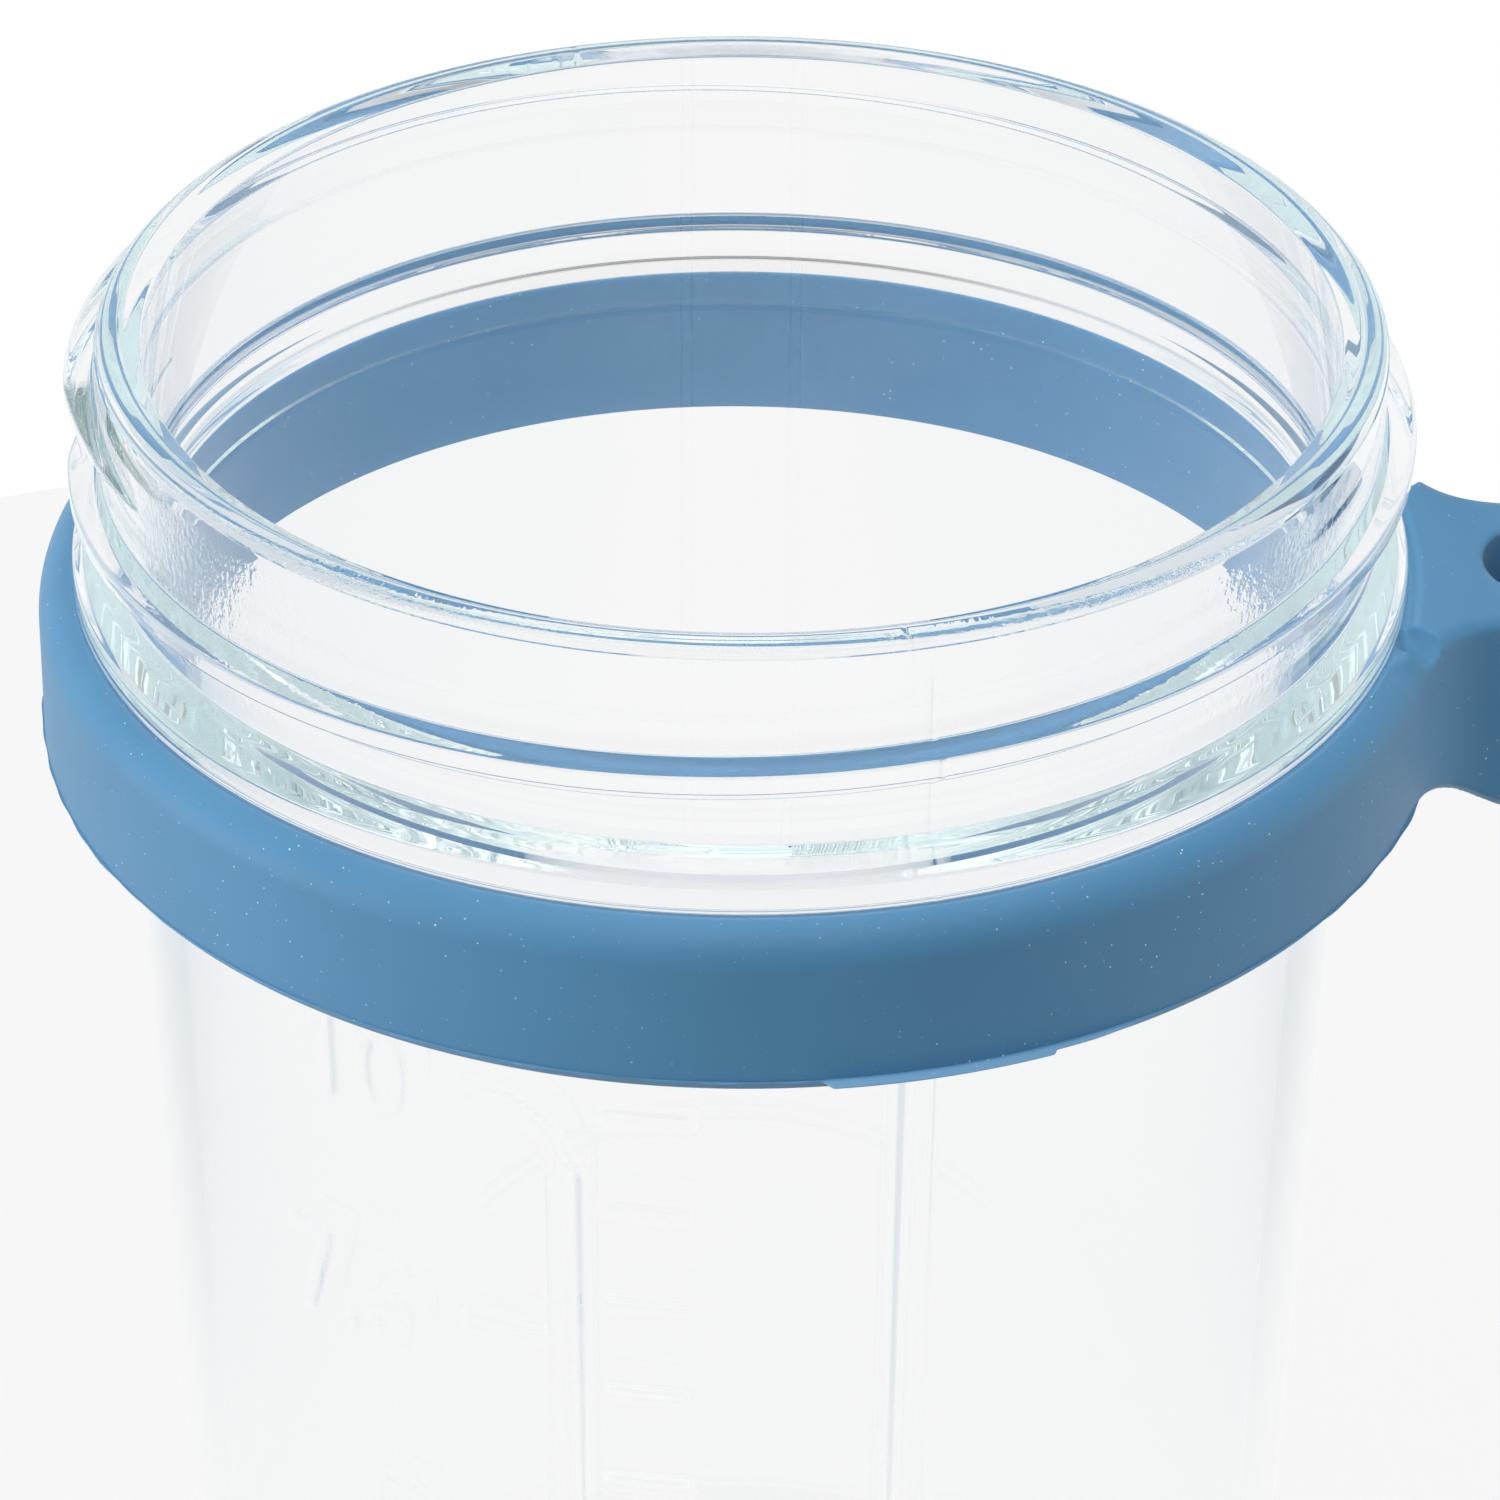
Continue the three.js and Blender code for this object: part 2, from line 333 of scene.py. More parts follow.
def thread_rows(angle):
    """Radius and drop of rows that follow the screw thread, one turn after another from the lowest."""
    section = rounded_path(THREAD_SECTION)
    height = section[:, :1]
    place = section[:, 1:]
    radius = []
    drop = []
    for turn in (-360.0, 0.0, 360.0):
        along = angle + turn
        left = np.clip((THREAD_END - along) / THREAD_FADE, 0.0, 1.0)
        begun = np.clip((along - THREAD_START) / THREAD_FADE, 0.0, 1.0)
        full = np.minimum(begun, left) ** THREAD_SWELL
        crest = THREAD_FRONT_DROP - THREAD_PITCH * (along - FRONT) / 360.0
        width = TIP_WIDTH + (1.0 - TIP_WIDTH) * left
        radius.append(NECK_RADIUS + height * full)
        drop.append(np.clip(narrowed_thread(place, width) + crest, *THREAD_ZONE))
    return np.concatenate(radius), np.concatenate(drop)


def digit_strokes(digit):
    """Strokes of one plain numeral in a cell that is 1 wide and 1 high, y up."""
    if digit == "0":
        return [arc_points((0.5, 0.5), (0.46, 0.5), 0, 360, 25)]
    if digit == "1":
        return [np.array([(0.28, 0.8), (0.58, 1.0), (0.58, 0.0)])]
    if digit == "2":
        hook = arc_points((0.5, 0.72), (0.42, 0.28), 170, -35, 13)
        return [np.concatenate([hook, [(0.06, 0.0), (0.94, 0.0)]])]
    if digit == "5":
        bowl = arc_points((0.46, 0.33), (0.46, 0.33), 130, -150, 17)
        return [np.concatenate([[(0.88, 1.0), (0.2, 1.0)], bowl])]
    if digit == "7":
        return [np.array([(0.04, 1.0), (0.96, 1.0), (0.36, 0.0)])]
    return [np.array([(0.5, 0.03), (0.5, 0.05)])]


def scale_strokes():
    """Strokes of the measuring scale as (points of arc length and drop, half width, height)."""
    bend_centre = (LEFT_BAR - MARK_BEND, MARK_DROPS[0] + MARK_BEND)
    bend = arc_points(bend_centre, (MARK_BEND, MARK_BEND), -90, 0, 10)
    top_mark = np.concatenate([[(MARK_START, MARK_DROPS[0])], bend])
    strokes = [(top_mark, MARK_HALF, MARK_HEIGHT)]
    left_bar = np.array([bend[-1], (LEFT_BAR, BAR_END_DROP)])
    right_bar = np.array([(RIGHT_BAR, RIGHT_BAR_TOP_DROP), (RIGHT_BAR, BAR_END_DROP)])
    strokes.append((left_bar, BAR_HALF, BAR_HEIGHT))
    strokes.append((right_bar, BAR_HALF, BAR_HEIGHT))
    for drop in MARK_DROPS[1:]:
        strokes.append((np.array([(MARK_START, drop), (LEFT_BAR, drop)]), MARK_HALF, MARK_HEIGHT))
    unit = (MARK_DROPS[1] - MARK_DROPS[0]) / UNITS_PER_MARK
    for count in range(UNIT_TICKS):
        drop = MARK_DROPS[0] + unit * count
        tick = np.array([(UNIT_TICK[0], drop), (UNIT_TICK[1], drop)])
        strokes.append((tick, UNIT_TICK_HALF, MARK_HEIGHT))
    for label, drop in zip(MARK_LABELS, MARK_DROPS):
        right = LABEL_END
        for digit in reversed(label):
            width = LABEL_WIDTH if digit != "." else POINT_WIDTH
            for stroke in digit_strokes(digit):
                across = right - width + stroke[:, 0] * width
                down = drop + LABEL_SINK + (0.5 - stroke[:, 1]) * LABEL_HEIGHT
                strokes.append((np.stack([across, down], 1), LABEL_HALF, LABEL_PROUD))
            right -= width + LABEL_GAP
    return strokes


def scale_relief(across, drop):
    """Height of the measuring scale over the body wall."""
    relief = np.zeros(across.shape)
    for points, half, height in scale_strokes():
        low = points.min(0) - half - RELIEF_FLANK
        high = points.max(0) + half + RELIEF_FLANK
        near = (across > low[0]) & (across < high[0]) & (drop > low[1]) & (drop < high[1])
        place = np.stack([across[near], drop[near]], 1)
        gap = np.full(len(place), 1e3)
        for start, end in zip(points, points[1:]):
            run = end - start
            part = np.clip((place - start) @ run / (run @ run), 0.0, 1.0)
            gap = np.minimum(gap, np.linalg.norm(place - start - part[:, None] * run, axis=1))
        proud = height * (1.0 - smooth_step(half - RELIEF_FLANK, half + RELIEF_FLANK, gap))
        relief[near] = np.maximum(relief[near], proud)
    return relief


def jar_angles():
    """Columns round the jar, closer together over the measuring scale and the mould seams."""
    columns = [np.arange(-180.0, 180.1, COLUMN_STEP)]
    columns.append(np.arange(FRONT - SCALE_SPAN[0], FRONT + SCALE_SPAN[1], SCALE_STEP))
    beside_seam = np.arange(-SEAM_SPAN, SEAM_SPAN + 0.01, SEAM_STEP)
    columns += [seam + beside_seam for seam, height in SEAMS]
    beside_bar = np.arange(-BAR_SPAN, BAR_SPAN + 0.01, BAR_STEP)
    for bar in (LEFT_BAR, RIGHT_BAR):
        columns.append(FRONT + np.degrees((bar + beside_bar) / RELIEF_RADIUS))
    together = np.unique(np.round(np.concatenate(columns), 4))
    apart = np.diff(together, prepend=-200.0)
    return together[apart > CLOSEST_COLUMNS]


def glass_jar_mesh():
    """Points and faces of the jar: rows up the outside, along the thread and down the inside."""
    angle = jar_angles()[None, :]
    level = np.ones(angle.shape)
    outer = rounded_path(OUTER_CORNERS)
    inner = rounded_path(INNER_CORNERS)
    thread_radius, thread_drop = thread_rows(angle)
    radius = np.concatenate([outer[:, :1] * level, thread_radius, inner[:, :1] * level])
    drop = np.concatenate([outer[:, 1:] * level, thread_drop, inner[:, 1:] * level])
    across = np.radians(angle - FRONT) * RELIEF_RADIUS * np.ones(drop.shape)
    outside = len(outer) + len(thread_drop)
    body = (np.arange(len(drop))[:, None] < outside) & (drop > BODY_TOP_DROP) & (drop < LIP - FOOT_HEIGHT)
    radius[body] += scale_relief(across[body], drop[body])
    upright = radius[:outside] > FOOT_RADIUS - 1.0
    proud = smooth_step(THREAD_ZONE[0], THREAD_ZONE[0] + SEAM_RISE, drop[:outside]) * upright
    below_neck = smooth_step(THREAD_ZONE[1], THREAD_ZONE[1] + SEAM_FALL, drop[:outside])
    proud *= 1.0 - SEAM_LOSS_BELOW_NECK * below_neck
    for seam, height in SEAMS:
        off = np.abs(np.radians((angle - seam + 180.0) % 360.0 - 180.0) * radius[:outside])
        radius[:outside] += height * proud * (1.0 - smooth_step(0.0, SEAM_HALF, off))
    turn = np.radians(angle)
    points = np.stack([radius * np.cos(turn), radius * np.sin(turn), LIP - drop], 2).reshape(-1, 3)
    number = np.arange(radius.size).reshape(radius.shape)
    quads = np.stack([number[:-1, :-1], number[:-1, 1:], number[1:, 1:], number[1:, :-1]], 2)
    return points, quads.reshape(-1, 4).tolist()


def round_both(first, second, radius):
    """Field of what two fields share, with their edge rounded."""
    outside = np.hypot(np.maximum(radius + first, 0.0), np.maximum(radius + second, 0.0))
    return np.minimum(-radius, np.maximum(first, second)) + outside


def round_either(first, second, radius):
    """Field of two fields together, with a fillet where they meet."""
    inside = np.hypot(np.maximum(radius - first, 0.0), np.maximum(radius - second, 0.0))
    return np.maximum(radius, np.minimum(first, second)) - inside


def band_field(x, y, drop):
    """Distance to the band's surface, below zero inside the silicone."""
    radius = np.hypot(x, y)
    side = np.abs(y)
    off_sleeve = np.hypot(x - SLEEVE_X, y)
    wall = round_either(radius - BAND_RADIUS, off_sleeve - SLEEVE_RADIUS, WEB_ROUND)
    past_end = np.where(x > 0.0, side - WEB_END_SIDE, FAR_OFF)
    step = WEB_STEP_INSIDE + (WEB_STEP_OUTSIDE - WEB_STEP_INSIDE) * smooth_step(*WEB_STEP_REACH, radius)
    holder = 1.0 - smooth_step(-step, step, past_end)
    groove = GLASS_GROOVE * (1.0 - smooth_step(*GROOVE_REACH, radius))
    top = BAND_TOP_DROP + holder * (HOLDER_TOP_DROP + groove - BAND_TOP_DROP)
    edge = HOLDER_EDGE_ROUND + (BAND_SHOULDER - HOLDER_EDGE_ROUND) * smooth_step(*SHOULDER_BLEND, past_end)
    whole = round_both(wall, top - drop, edge)
    hang = smooth_step(UNDERSIDE_START_X, UNDERSIDE_END_X, x) * (SLEEVE_BOTTOM_DROP - BAND_BOTTOM_DROP)
    above_floor = drop - BAND_BOTTOM_DROP - hang
    whole = round_both(whole, above_floor, BAND_BOTTOM_ROUND)
    chamfer = (wall + (above_floor + CHAMFER_HEIGHT) * CHAMFER_SLOPE) / math.hypot(1.0, CHAMFER_SLOPE)
    whole = np.maximum(whole, chamfer)
    whole = round_both(whole, SPOON_HOLE_RADIUS - off_sleeve, SPOON_HOLE_ROUND)
    ahead = x - HOLLOW_CENTRE[0]
    aside = side - HOLLOW_CENTRE[1]
    lengthwise = (ahead * HOLLOW_ALONG[0] + aside * HOLLOW_ALONG[1]) / HOLLOW_REACH[0]
    crosswise = (ahead * HOLLOW_ALONG[1] - aside * HOLLOW_ALONG[0]) / HOLLOW_REACH[1]
    deep = (drop - HOLDER_TOP_DROP) / HOLLOW_REACH[2]
    hollow = (1.0 - np.sqrt(lengthwise ** 2 + crosswise ** 2 + deep ** 2)) * HOLLOW_REACH[2]
    whole = round_both(whole, hollow, HOLLOW_ROUND)
    seat = BAND_INNER_RADIUS + SEAT_GAP - radius
    fall = (SEAT_TOP_DROP - BEAD_BOTTOM_DROP) / (BEAD_RADIUS - SEAT_RADIUS)
    inward = BEAD_RADIUS - radius
    bead = BEAD_BOTTOM_DROP + SEAT_GAP + inward * np.where(inward > 0.0, fall, 1.0) - drop
    return np.maximum(whole, round_both(seat, bead, SEAT_ROUND))


def grid_steps(runs):
    """Grid places from runs of (start, end, step), one after another."""
    return np.concatenate([np.arange(*run) for run in runs])


def flash_strip(first):
    """Points and faces of the mould flash, numbered from first: a closed ring of a thin wedge section."""
    angles = grid_steps(FLASH_ANGLES)
    turn = np.radians(angles)
    uneven = 0.5 * np.sin(23 * turn) * np.sin(7 * turn + 1.0) + 0.3 * np.sin(71 * turn)
    lip = FLASH_LIP * (1.0 + uneven)
    begun = smooth_step(FILM_START, FILM_START + 1.0, angles)
    torn = 1.0 - (1.0 - FILM_AFTER_TOOTH) * smooth_step(FILM_TOOTH, FILM_TOOTH + 0.5, angles)
    tapered = 1.0 - smooth_step(FILM_TOOTH + 3.0, FILM_END, angles)
    film = FILM_REACH * begun * torn * tapered
    reach = np.maximum(lip, film)
    inner = np.full(len(angles), BAND_RADIUS - FLASH_ROOT)
    section = [
        (inner, PARTING_DROP - FLASH_HALF),
        (BAND_RADIUS + reach, PARTING_DROP - FLASH_HALF * 0.3),
        (BAND_RADIUS + reach, PARTING_DROP + FLASH_HALF * 0.3),
        (inner, PARTING_DROP + FLASH_HALF),
    ]
    rows = []
    for radius, drop in section:
        level = np.full(len(turn), drop)
        rows.append(np.stack([radius * np.cos(turn), radius * np.sin(turn), level], 1))
    count = len(angles)
    faces = []
    for row in range(len(section)):
        below = (row + 1) % len(section)
        for column in range(count):
            beside = (column + 1) % count
            near = (row * count + column, below * count + column)
            far = (below * count + beside, row * count + beside)
            faces.append(tuple(first + corner for corner in near + far))
    return np.concatenate(rows), faces


def net_surface(field, angles, radii, drops):
    """Quad mesh where a field is zero, on a grid of angles, radii and drops that wraps round the axis."""
    turn = np.radians(angles)[:, None, None]
    spokes = radii[None, :, None]
    values = field(spokes * np.cos(turn), spokes * np.sin(turn), drops[None, None, :])
    inside = values < 0.0
    counts = values.shape
    total = np.zeros(counts + (3,))
    hits = np.zeros(counts)
    faces = []
    number = np.arange(values.size).reshape(counts)
    for axis in range(3):
        others = [other for other in range(3) if other != axis]
        ahead = np.roll(inside, -1, axis)
        crossed = inside != ahead
        if axis > 0:
            crossed = np.moveaxis(crossed, axis, 0)
            crossed[-1] = False
            crossed = np.moveaxis(crossed, 0, axis)
        at = np.argwhere(crossed)
        first = values[crossed]
        second = np.roll(values, -1, axis)[crossed]
        spot = at.astype(float)
        spot[:, axis] += first / (first - second)
        ring = []
        for low, high in ((1, 1), (0, 1), (0, 0), (1, 0)):
            cell = at.copy()
            cell[:, others[0]] -= low
            cell[:, others[1]] -= high
            wrapped = cell[:, 0] < 0
            cell[wrapped, 0] += counts[0]
            shifted = spot.copy()
            shifted[:, 0] += np.where(wrapped, counts[0], 0)
            np.add.at(total, tuple(cell.T), shifted)
            np.add.at(hits, tuple(cell.T), 1.0)
            ring.append(number[tuple(cell.T)])
        quad = np.stack(ring, 1)
        outward = first < 0.0
        if axis == 1:
            outward = ~outward
        quad[outward] = quad[outward][:, ::-1]
        faces.append(quad)
    used = hits > 0
    spots = total[used] / hits[used][:, None]
    renumber = np.full(values.size, -1)
    renumber[number[used]] = np.arange(used.sum())
    wrap_angles = np.append(angles, angles[0] + 360.0)
    turn = np.radians(np.interp(spots[:, 0] % counts[0], np.arange(counts[0] + 1), wrap_angles))
    radius = np.interp(spots[:, 1], np.arange(counts[1]), radii)
    drop = np.interp(spots[:, 2], np.arange(counts[2]), drops)
    points = np.stack([radius * np.cos(turn), radius * np.sin(turn), drop], 1)
    return points, renumber[np.concatenate(faces)]


def settle(field, points, step=0.02, rounds=3):
    """Moves points onto the surface where the field is zero."""
    for _ in range(rounds):
        value = field(*points.T)
        slope = np.zeros(points.shape)
        for axis in range(3):
            shift = np.zeros(3)
            shift[axis] = step
            slope[:, axis] = (field(*(points + shift).T) - field(*(points - shift).T)) / (2 * step)
        steep = np.maximum((slope * slope).sum(1), 0.25)
        points = points - np.clip(value / steep, -0.2, 0.2)[:, None] * slope
    return points


def spoon_band_mesh():
    """Points and faces of the band, with a finer grid at the spoon holder and along the lower edge."""
    grid = grid_steps(BAND_ANGLES), grid_steps(BAND_RADII), grid_steps(BAND_DROPS)
    points, faces = net_surface(band_field, *grid)
    points = settle(band_field, points)
    strip, strip_faces = flash_strip(len(points))
    points = np.concatenate([points, strip])
    points[:, 2] = LIP - points[:, 2]
    return points, faces.tolist() + strip_faces


def add_node(tree, kind, inputs=None, **settings):
    """A new node with its settings. Each input takes a value, or a link from another node's socket."""
    node = tree.nodes.new(kind)
    for name, value in settings.items():
        setattr(node, name, value)
    for name, value in (inputs or {}).items():
        if isinstance(value, bpy.types.NodeSocket):
            tree.links.new(value, node.inputs[name])
        else:
            node.inputs[name].default_value = value
    return node


def combine(tree, operation, *values):
    """Output of a math node on values or sockets."""
    return add_node(tree, "ShaderNodeMath", dict(enumerate(values)), operation=operation).outputs[0]


def ramp(tree, value, low, high, least=0.0, most=1.0, shape="LINEAR"):
    """Level that goes from least to most while a value goes from low to high."""
    return add_node(tree, "ShaderNodeMapRange", {
        "Value": value,
        "From Min": low,
        "From Max": high,
        "To Min": least,
        "To Max": most,
    }, interpolation_type=shape).outputs[0]


def noise(tree, place, size, detail):
    """Noise with grains of about so many millimetres."""
    return add_node(tree, "ShaderNodeTexNoise", {
        "Vector": place,
        "Scale": 1 / (size * MM),
        "Detail": detail,
    }).outputs["Fac"]


def blend(tree, share, first, second):
    """Colour between two colours."""
    return add_node(tree, "ShaderNodeMix", {0: share, 6: first, 7: second}, data_type="RGBA").outputs[2]


def off_axis(tree, place):
    """Distance of a place from the jar's axis."""
    flat = add_node(tree, "ShaderNodeVectorMath", {0: place, 1: (1.0, 1.0, 0.0)}, operation="MULTIPLY")
    distance = add_node(tree, "ShaderNodeVectorMath", {0: flat.outputs["Vector"]}, operation="LENGTH")
    return distance.outputs["Value"]


def colour(code):
    """Linear colour of an sRGB hex value."""
    linear = []
    for place in (1, 3, 5):
        part = int(code[place:place + 2], 16) / 255
        linear.append(part / 12.92 if part <= 0.04045 else ((part + 0.055) / 1.055) ** 2.4)
    return (*linear, 1.0)


def new_material(name):
    material = bpy.data.materials.new(name)
    material.use_nodes = True
    material.node_tree.nodes.clear()
    return material, material.node_tree


def faded(tree, level, ramps):
    """A level times several ramps, each a value, its low and high limit and the ramp's least level."""
    for value, low, high, least in ramps:
        level = combine(tree, "MULTIPLY", level, ramp(tree, value, low, high, least))
    return level


def neck_ripple(tree, place, level):
    """Ripple kept to patches outside the neck, left and right of the front, fainter on the thread."""
    parts = add_node(tree, "ShaderNodeSeparateXYZ", {"Vector": place}).outputs
    reach = off_axis(tree, place)
    aside = combine(tree, "ABSOLUTE", parts["X"])
    return faded(tree, level, (
        (parts["Z"], (LIP - RIPPLE_DROPS[3]) * MM, (LIP - RIPPLE_DROPS[2]) * MM, 0.0),
        (parts["Z"], (LIP - RIPPLE_DROPS[0]) * MM, (LIP - RIPPLE_DROPS[1]) * MM, 0.0),
        (reach, RIPPLE_REACH[0] * MM, RIPPLE_REACH[1] * MM, 0.0),
        (reach, RIPPLE_REACH[3] * MM, RIPPLE_REACH[2] * MM, RIPPLE_ON_THREAD),
        (aside, RIPPLE_ASIDE[0] * MM, RIPPLE_ASIDE[1] * MM, 0.0),
        (aside, RIPPLE_ASIDE[3] * MM, RIPPLE_ASIDE[2] * MM, 0.0),
        (parts["Y"], RIPPLE_Y[0] * MM, RIPPLE_Y[1] * MM, 0.0),
        (noise(tree, place, RIPPLE_PATCH, 2.0), 0.3, 0.5, 0.0),
    ))


def body_streak(tree, place, level):
    """Ripple kept to a narrow streak down the body's outside that sways to and fro."""
    parts = add_node(tree, "ShaderNodeSeparateXYZ", {"Vector": place}).outputs
    upright = add_node(tree, "ShaderNodeVectorMath", {0: place, 1: (0.0, 0.0, 1.0)}, operation="MULTIPLY")
    sway = noise(tree, upright.outputs["Vector"], STREAK_SWAY_LENGTH, 1.0)
    swayed = combine(tree, "MULTIPLY_ADD", sway, STREAK_SWAY * MM, parts["X"])
    beside = combine(tree, "ABSOLUTE", combine(tree, "SUBTRACT", swayed, STREAK_X * MM))
    return faded(tree, level, (
        (parts["Z"], (LIP - STREAK_TOP_DROPS[0]) * MM, (LIP - STREAK_TOP_DROPS[1]) * MM, 0.0),
        (parts["Y"], STREAK_Y[0] * MM, STREAK_Y[1] * MM, 0.0),
        (off_axis(tree, place), STREAK_REACH[0] * MM, STREAK_REACH[1] * MM, 0.0),
        (beside, STREAK_HALF[0] * MM, STREAK_HALF[1] * MM, 0.0),
    ))


def soda_lime_glass():
    """Pressed soda-lime glass, formed in an iron mould.

    It gives the eye a clear wall with a faint green where light runs far inside it, ripple of about
    half a millimetre in patches at the neck, and one rough streak down the body.
    """
    material, tree = new_material("pressed soda-lime glass")
    place = add_node(tree, "ShaderNodeTexCoord").outputs["Object"]
    level = combine(tree, "SUBTRACT", noise(tree, place, RIPPLE_SIZE, 2.0), 0.5)
    rough = combine(tree, "ADD", neck_ripple(tree, place, level), body_streak(tree, place, level))
    bump = add_node(tree, "ShaderNodeBump", {
        "Height": rough,
        "Distance": RIPPLE_HEIGHT * MM,
        "Strength": 1.0,
    })
    glass = add_node(tree, "ShaderNodeBsdfPrincipled", {
        "Base Color": colour("#ffffff"),
        "Roughness": 0.0,
        "IOR": 1.52,
        "Transmission Weight": 1.0,
        "Normal": bump.outputs["Normal"],
    })
    tint = add_node(tree, "ShaderNodeVolumeAbsorption", {"Color": colour("#d7ecec"), "Density": 4.0})
    add_node(tree, "ShaderNodeOutputMaterial", {"Surface": glass.outputs[0], "Volume": tint.outputs[0]})
    return material


def painted_flash_light(tree, place):
    """Painted light: how much paler blue to paint where the mould flash stands out past the band's wall,
    in place of light shining through the thin silicone.
    """
    parts = add_node(tree, "ShaderNodeSeparateXYZ", {"Vector": place}).outputs
    inner = (BAND_RADIUS + FLASH_LIGHT_REACH[0]) * MM
    outer = (BAND_RADIUS + FLASH_LIGHT_REACH[1]) * MM
    beyond = ramp(tree, off_axis(tree, place), inner, outer, 0.0, FLASH_LIGHT_SHARE)
    off_holder = combine(tree, "LESS_THAN", parts["X"], HOLDER_START_X * MM)
    return combine(tree, "MULTIPLY", beyond, off_holder)


def dust(tree, place):
    """Specks of dust, some paler than others, gathered in drifts."""
    cells = add_node(tree, "ShaderNodeTexVoronoi", {"Vector": place, "Scale": 1 / (DUST_CELL * MM)})
    speck = combine(tree, "LESS_THAN", cells.outputs["Distance"], DUST_SPECK)
    drifts = ramp(tree, noise(tree, place, DUST_DRIFT, 1.0), 0.35, 0.65)
    each = add_node(tree, "ShaderNodeSeparateColor", {"Color": cells.outputs["Color"]}).outputs[0]
    return combine(tree, "MULTIPLY", combine(tree, "MULTIPLY", drifts, each), speck)


def moulded_silicone():
    """Silicone rubber, moulded and dyed through.

    It gives the eye a matte blue that clouds faintly, softly lit at grazing edges, with dust that clings
    to it, and a paler blue painted on the thin flash as painted light shining through it. The real grain
    is too fine to show, so it is drawn coarser, at half a millimetre.
    """
    material, tree = new_material("moulded silicone rubber")
    place = add_node(tree, "ShaderNodeTexCoord").outputs["Object"]
    blue = blend(tree, noise(tree, place, CLOUD_SIZE, 3.0), colour("#437ba2"), colour("#4a84ab"))
    # Painted light: the thin flash is painted a paler blue in place of light shining through it.
    with_painted_flash_light = blend(tree, painted_flash_light(tree, place), blue, colour("#86b4d8"))
    dusty = blend(tree, dust(tree, place), with_painted_flash_light, colour("#d5e0e8"))
    grain = noise(tree, place, GRAIN_SIZE, 2.0)
    bump = add_node(tree, "ShaderNodeBump", {"Height": grain, "Distance": GRAIN_HEIGHT * MM})
    rubber = add_node(tree, "ShaderNodeBsdfPrincipled", {
        "Base Color": dusty,
        "Roughness": 0.55,
        "IOR": 1.41,
        "Sheen Weight": 0.12,
        "Normal": bump.outputs["Normal"],
    })
    add_node(tree, "ShaderNodeOutputMaterial", {"Surface": rubber.outputs[0]})
    return material


def seen_ray(tree):
    """1 for rays that show the background to the eye, directly or through glass or gloss."""
    path = add_node(tree, "ShaderNodeLightPath").outputs
    glass = combine(tree, "MAXIMUM", path["Is Glossy Ray"], path["Is Transmission Ray"])
    return combine(tree, "MAXIMUM", path["Is Camera Ray"], glass)


def long_glass_path(tree):
    """1 for rays that ran far inside a glass wall, which real glass lets out at every small flaw."""
    path = add_node(tree, "ShaderNodeLightPath").outputs
    return ramp(tree, path["Ray Depth"], *LONG_PATH)


def darker_side(tree, place, low, high):
    """How far a place lies to the left or right in the room, for rays that come out of glass."""
    across = add_node(tree, "ShaderNodeSeparateXYZ", {"Vector": place}).outputs["X"]
    aside = ramp(tree, combine(tree, "ABSOLUTE", across), low, high, shape="SMOOTHSTEP")
    path = add_node(tree, "ShaderNodeLightPath").outputs
    return combine(tree, "MULTIPLY", aside, path["Is Transmission Ray"])


def add_piece(name, points, faces, material):
    """A smooth mesh object from points in millimetres, with doubled points joined."""
    mesh = bpy.data.meshes.new(name)
    mesh.from_pydata((np.asarray(points) * MM).tolist(), [], faces)
    joined = bmesh.new()
    joined.from_mesh(mesh)
    bmesh.ops.remove_doubles(joined, verts=joined.verts, dist=0.001 * MM)
    joined.to_mesh(mesh)
    joined.free()
    mesh.shade_smooth()
    mesh.set_sharp_from_angle(angle=math.radians(50.0))
    mesh.materials.append(material)
    piece = bpy.data.objects.new(name, mesh)
    bpy.context.scene.collection.objects.link(piece)
    return piece


def white_laminate():
    """White laminate, pressed smooth. It gives the eye a plain white that keeps a trace of the shadow."""
    material, tree = new_material("white laminate")
    place = add_node(tree, "ShaderNodeTexCoord").outputs["Object"]
    side = darker_side(tree, place, *SIDE_ON_FLOOR)
    white = blend(tree, side, colour("#fbfbfb"), colour(SIDE_SHADE))
    strength = combine(tree, "MULTIPLY_ADD", long_glass_path(tree), LONG_PATH_GAIN, 1.0)
    glow = add_node(tree, "ShaderNodeEmission", {"Color": white, "Strength": strength})
    matte = add_node(tree, "ShaderNodeBsdfDiffuse", {"Color": colour("#bcbcbc")})
    mixed = add_node(tree, "ShaderNodeMixShader", {
        0: combine(tree, "MULTIPLY", seen_ray(tree), FLOOR_GLOW),
        1: matte.outputs[0],
        2: glow.outputs[0],
    })
    add_node(tree, "ShaderNodeOutputMaterial", {"Surface": mixed.outputs[0]})
    return material


def white_floor():
    """A round white table top under the jar."""
    edge = arc_points((0.0, 0.0), (FLOOR_RADIUS, FLOOR_RADIUS), 0, 360, 361)[:-1]
    points = [(x, y, -FLOOR_DROP_BELOW_JAR) for x, y in edge]
    floor = add_piece("table_top", points, [tuple(range(len(points)))], white_laminate())


def toward_side(tree, toward, way):
    """How closely a direction in the room goes a given way."""
    facing = add_node(tree, "ShaderNodeVectorMath", {0: toward, 1: way}, operation="DOT_PRODUCT")
    return facing.outputs["Value"]


def soft_boxes(tree, toward):
    """Light of the soft boxes from a direction in the room."""
    level = ROOM_LEAST
    for way, strength in ROOM_LIGHTS:
        lit = combine(tree, "MAXIMUM", toward_side(tree, toward, Vector(way).normalized()), 0.0)
        soft = combine(tree, "POWER", lit, SOFT_BOX_FALL)
        level = combine(tree, "MULTIPLY_ADD", soft, strength, level)
    return level


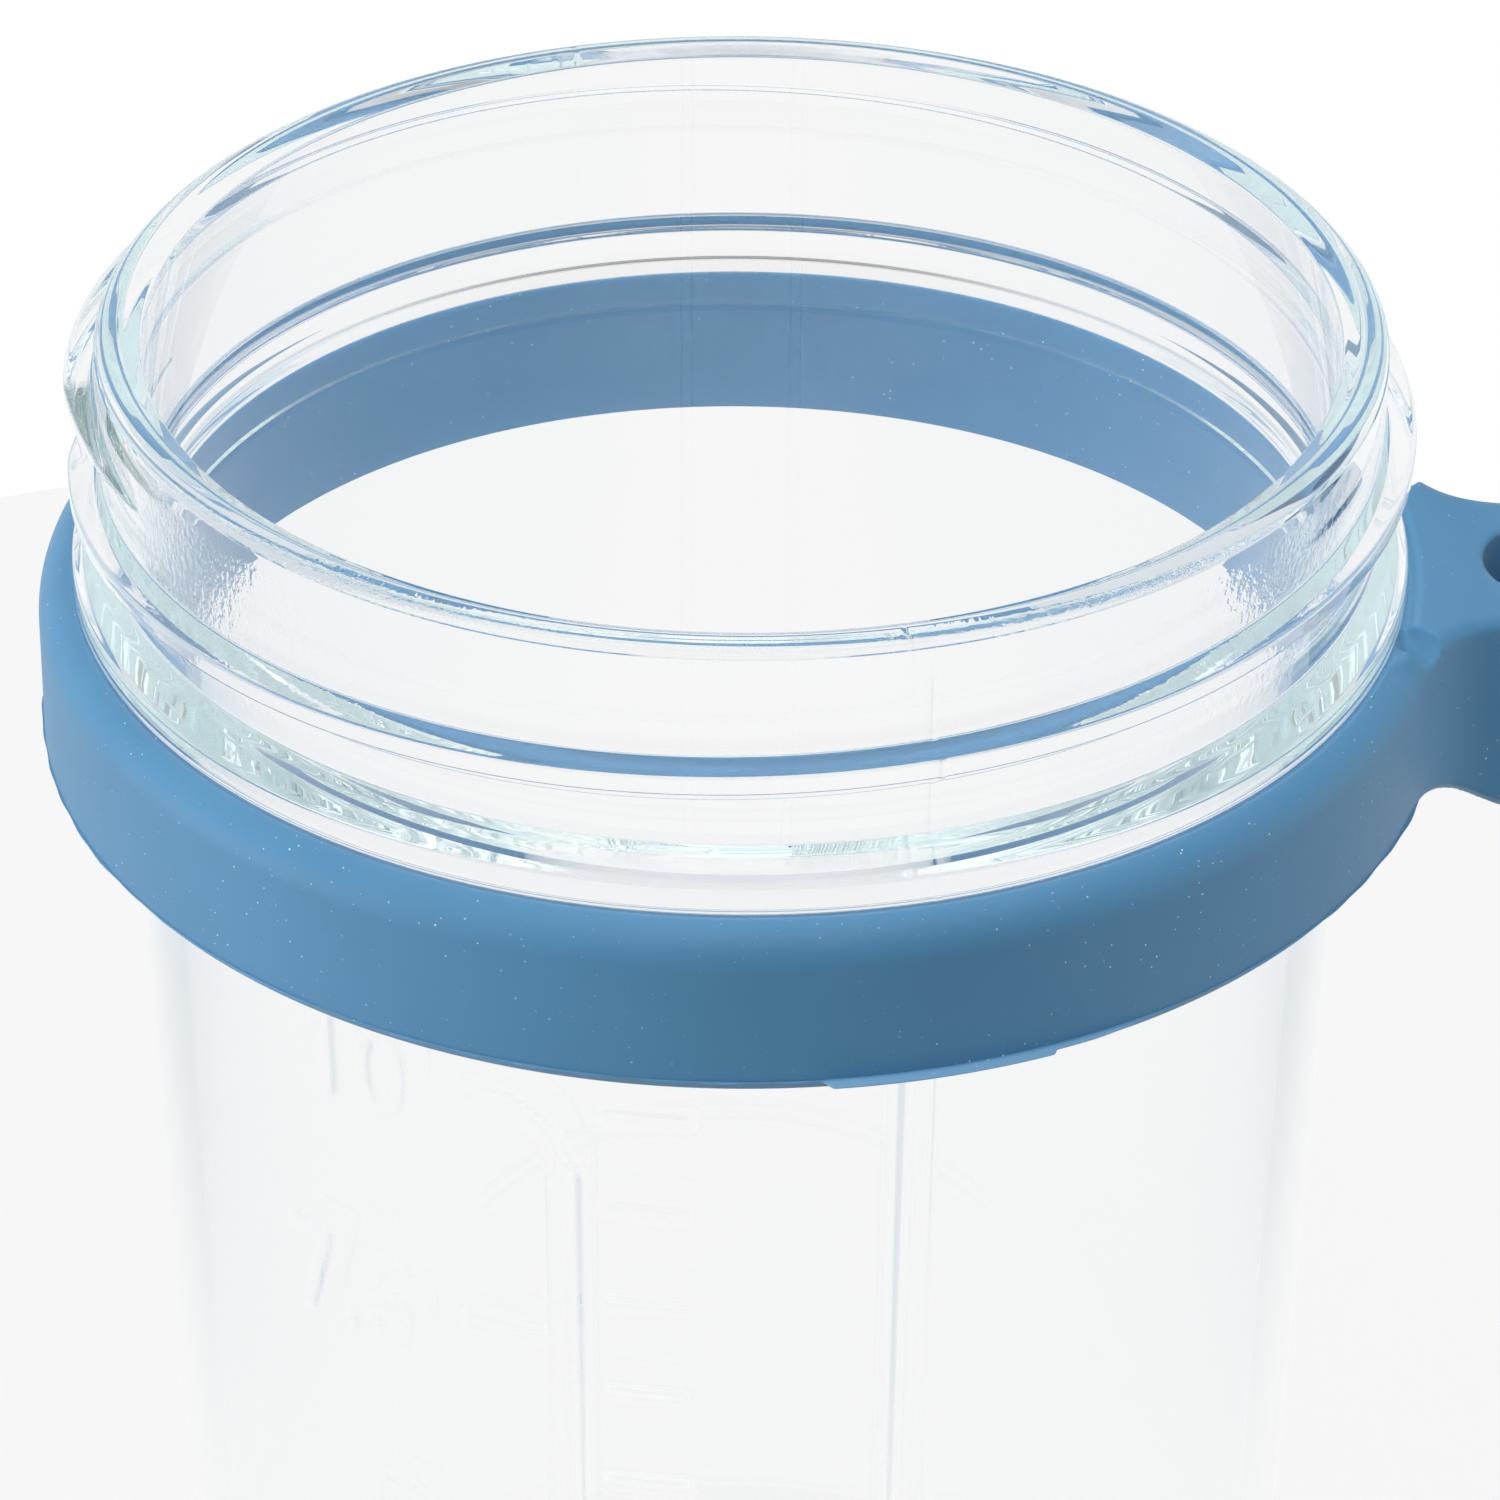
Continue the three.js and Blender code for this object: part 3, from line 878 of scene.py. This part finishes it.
def studio_light():
    """A white room with soft boxes above, at the left and at the right, and a dark side at the camera."""
    world = bpy.data.worlds.new("white studio")
    bpy.context.scene.world = world
    world.use_nodes = True
    tree = world.node_tree
    tree.nodes.clear()
    toward = add_node(tree, "ShaderNodeTexCoord").outputs["Generated"]
    level = soft_boxes(tree, toward)
    light = add_node(tree, "ShaderNodeBackground", {"Color": colour("#ffffff"), "Strength": level})
    path = add_node(tree, "ShaderNodeLightPath").outputs
    behind = toward_side(tree, toward, CAMERA_SIDE)
    dark = ramp(tree, behind, *CAMERA_SIDE_EDGE, 0.0, CAMERA_SIDE_DARK, "SMOOTHSTEP")
    height = add_node(tree, "ShaderNodeSeparateXYZ", {"Vector": toward}).outputs["Z"]
    high_dark = combine(tree, "MULTIPLY", dark, ramp(tree, height, *HORIZON))
    mirrored = combine(tree, "MULTIPLY", high_dark, path["Is Glossy Ray"])
    lost = combine(tree, "MULTIPLY_ADD", path["Is Transmission Ray"], GLASS_LOSS, mirrored)
    shown = combine(tree, "SUBTRACT", 1.0, lost)
    # Silicone behind glass gets the light of the soft boxes on top of the white room's.
    lit_through = combine(tree, "GREATER_THAN", path["Diffuse Depth"], 0.5)
    from_boxes = combine(tree, "MULTIPLY", level, BOXES_THROUGH_GLASS)
    raised = combine(tree, "MULTIPLY_ADD", lit_through, from_boxes, shown)
    raised = combine(tree, "MULTIPLY_ADD", long_glass_path(tree), LONG_PATH_GAIN, raised)
    white = blend(tree, darker_side(tree, toward, *SIDE_OF_ROOM), colour("#ffffff"), colour(SIDE_SHADE))
    backdrop = add_node(tree, "ShaderNodeBackground", {"Color": white, "Strength": raised})
    mixed = add_node(tree, "ShaderNodeMixShader", {
        0: seen_ray(tree),
        1: light.outputs[0],
        2: backdrop.outputs[0],
    })
    add_node(tree, "ShaderNodeOutputWorld", {"Surface": mixed.outputs[0]})


def photo_camera():
    """Camera at the photograph's place: a long lens, looking down at the neck."""
    lens = 166.15
    aim = Vector((0.74, 0.0, LIP - 32.52)) * MM
    distance = 455.8 * MM
    elevation = math.radians(31.94)
    azimuth = math.radians(0.63)
    roll = math.radians(0.482)
    back = Vector((
        math.sin(azimuth) * math.cos(elevation),
        -math.cos(azimuth) * math.cos(elevation),
        math.sin(elevation),
    ))
    level = Vector((math.cos(azimuth), math.sin(azimuth), 0.0))
    upright = back.cross(level)
    right = level * math.cos(roll) + upright * math.sin(roll)
    up = upright * math.cos(roll) - level * math.sin(roll)
    data = bpy.data.cameras.new("photo_camera")
    data.lens = lens
    data.sensor_width = 36.0
    data.clip_start = 0.02
    data.clip_end = 20.0
    camera = bpy.data.objects.new("photo_camera", data)
    turned = Matrix((right, up, back)).transposed().to_4x4()
    camera.matrix_world = Matrix.Translation(aim + back * distance) @ turned
    bpy.context.scene.collection.objects.link(camera)
    bpy.context.scene.camera = camera


bpy.context.scene.view_settings.view_transform = "Standard"
# Light runs far inside a glass wall before it leaves.
bpy.context.scene.cycles.max_bounces = 128
bpy.context.scene.cycles.glossy_bounces = 112
bpy.context.scene.cycles.transmission_bounces = 112
bpy.context.scene.cycles.blur_glossy = 0.0
photo_camera()
studio_light()
white_floor()

jar = add_piece("pressed_jar", *glass_jar_mesh(), soda_lime_glass())
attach(jar, "jar")
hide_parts("glass_jar")

band = add_piece("silicone_band", *spoon_band_mesh(), moulded_silicone())
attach(band, "band")
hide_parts("spoon_band")
